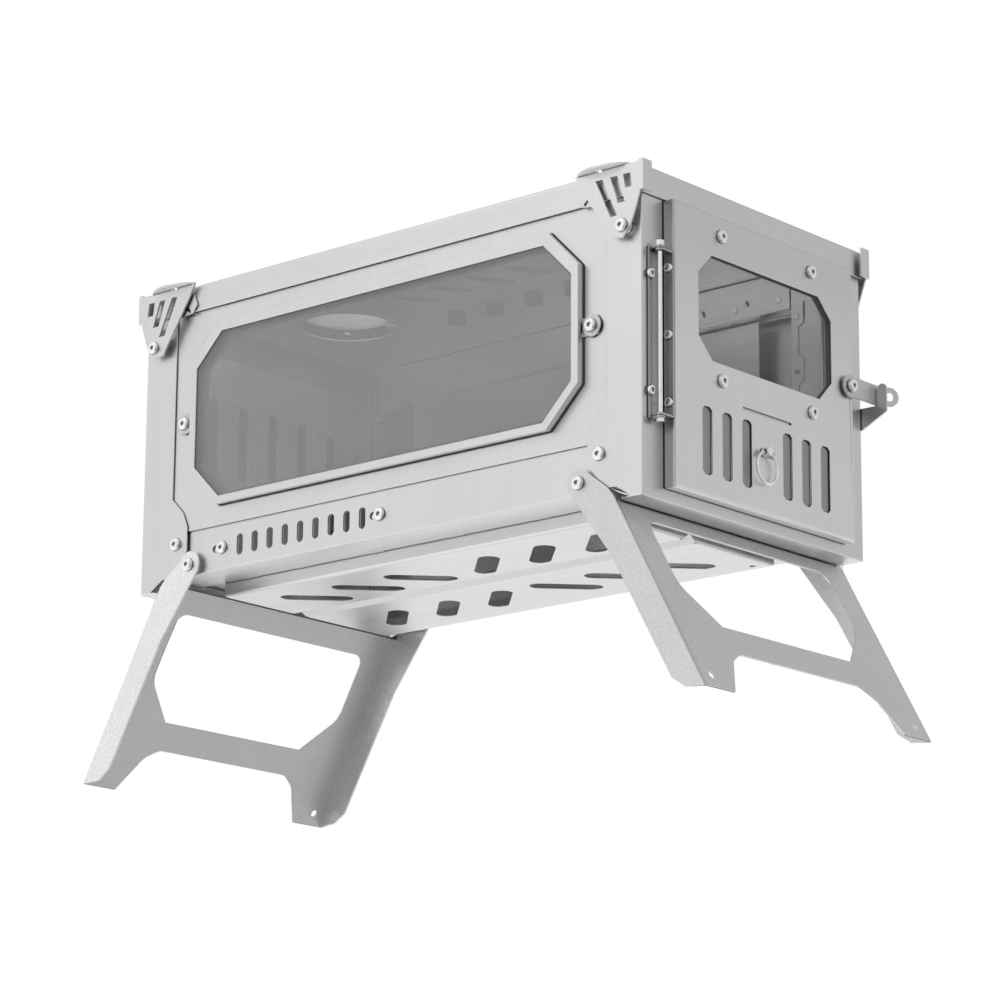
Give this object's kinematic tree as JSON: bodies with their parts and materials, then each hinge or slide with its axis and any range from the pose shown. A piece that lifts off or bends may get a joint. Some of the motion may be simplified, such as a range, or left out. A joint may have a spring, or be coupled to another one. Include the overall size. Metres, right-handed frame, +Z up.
{
  "type": "tent wood stove",
  "caption": "Folding sheet-steel tent stove: long glazed side, windowed door with latch and air slide, side vents, flue collar and splayed folding legs.",
  "frame": {"origin": "centre of the bounding box's underside, on the floor midway between the four feet", "axes": "+X along the body towards the door, +Y away from the long window, +Z up"},
  "size_m": [0.4868, 0.2333, 0.333],
  "materials": {
    "body_steel": "satin, fine brushed",
    "door_steel": "satin",
    "inner_steel": "dull",
    "fitting_steel": "satin",
    "leg_steel": "bead blasted",
    "screw_steel": "polished",
    "glass": "clear"
  },
  "bodies": {
    "stove": {"front_frame": "body_steel", "rear_frame": "body_steel", "left_panel": "body_steel", "right_panel": "body_steel", "left_rail": "body_steel", "right_rail": "body_steel", "floor_pan": "inner_steel", "lid": "body_steel", "flue_collar": "body_steel", "flue_screws": "screw_steel", "corner_brackets": "body_steel", "bracket_screws": "screw_steel", "bracket_spacers": "screw_steel", "rail_screws": "screw_steel", "window_bezel": "body_steel", "window_glass": "glass", "bezel_screws": "screw_steel", "bezel_washers": "screw_steel", "ceiling_baffle": "inner_steel", "baffle_screws": "screw_steel", "baffle_spacers": "screw_steel", "air_channel": "inner_steel", "right_liner": "inner_steel", "rear_shield": "inner_steel", "hinge_frame_leaf": "fitting_steel", "hinge_frame_screws": "screw_steel", "hinge_pin": "screw_steel", "latch_keeper": "fitting_steel", "keeper_screws": "screw_steel", "leg_screws": "screw_steel", "leg_spacers": "screw_steel"},
    "door": {"door_panel": "door_steel", "door_glass": "glass", "door_retainer": "door_steel", "door_screws": "screw_steel", "slider_guides": "door_steel", "hinge_door_leaf": "fitting_steel", "hinge_door_screws": "screw_steel", "latch_screw": "screw_steel", "latch_spacer": "screw_steel"},
    "latch": {"latch_lever": "fitting_steel"},
    "air_slider": {"door_slider": "door_steel", "slider_knob": "screw_steel"},
    "ring": {"pull_ring": "fitting_steel"},
    "vent": {"vent_slider": "fitting_steel", "vent_slider_screws": "screw_steel"},
    "leg_front": {"front_leg": "leg_steel"},
    "leg_rear": {"rear_leg": "leg_steel"}
  },
  "joints": [
    {"name": "door_swing", "type": "hinge", "parent": "stove", "child": "door", "pos_m": [0.204, -0.09588, 0.2075], "axis": [0, 0, -1], "range_deg": [0, 150]},
    {"name": "latch_lift", "type": "hinge", "parent": "door", "child": "latch", "pos_m": [0.2094, 0.07682, 0.2133], "axis": [1, 0, 0], "range_deg": [0, 80]},
    {"name": "air_slide", "type": "slide", "parent": "door", "child": "air_slider", "axis": [0, 1, 0], "range_m": [0, 0.00915]},
    {"name": "ring_swing", "type": "hinge", "parent": "air_slider", "child": "ring", "pos_m": [0.2102, -0.00626, 0.1558], "axis": [0, -1, 0], "range_deg": [0, 150]},
    {"name": "vent_slide", "type": "slide", "parent": "stove", "child": "vent", "axis": [-1, 0, 0], "range_m": [0, 0.00633]},
    {"name": "front_leg_fold", "type": "hinge", "parent": "stove", "child": "leg_front", "pos_m": [0.155, -0.00168, 0.126], "axis": [0, 1, 0], "range_deg": [0, 119]},
    {"name": "rear_leg_fold", "type": "hinge", "parent": "stove", "child": "leg_rear", "pos_m": [-0.155, -0.00168, 0.126], "axis": [0, -1, 0], "range_deg": [0, 119]}
  ]
}
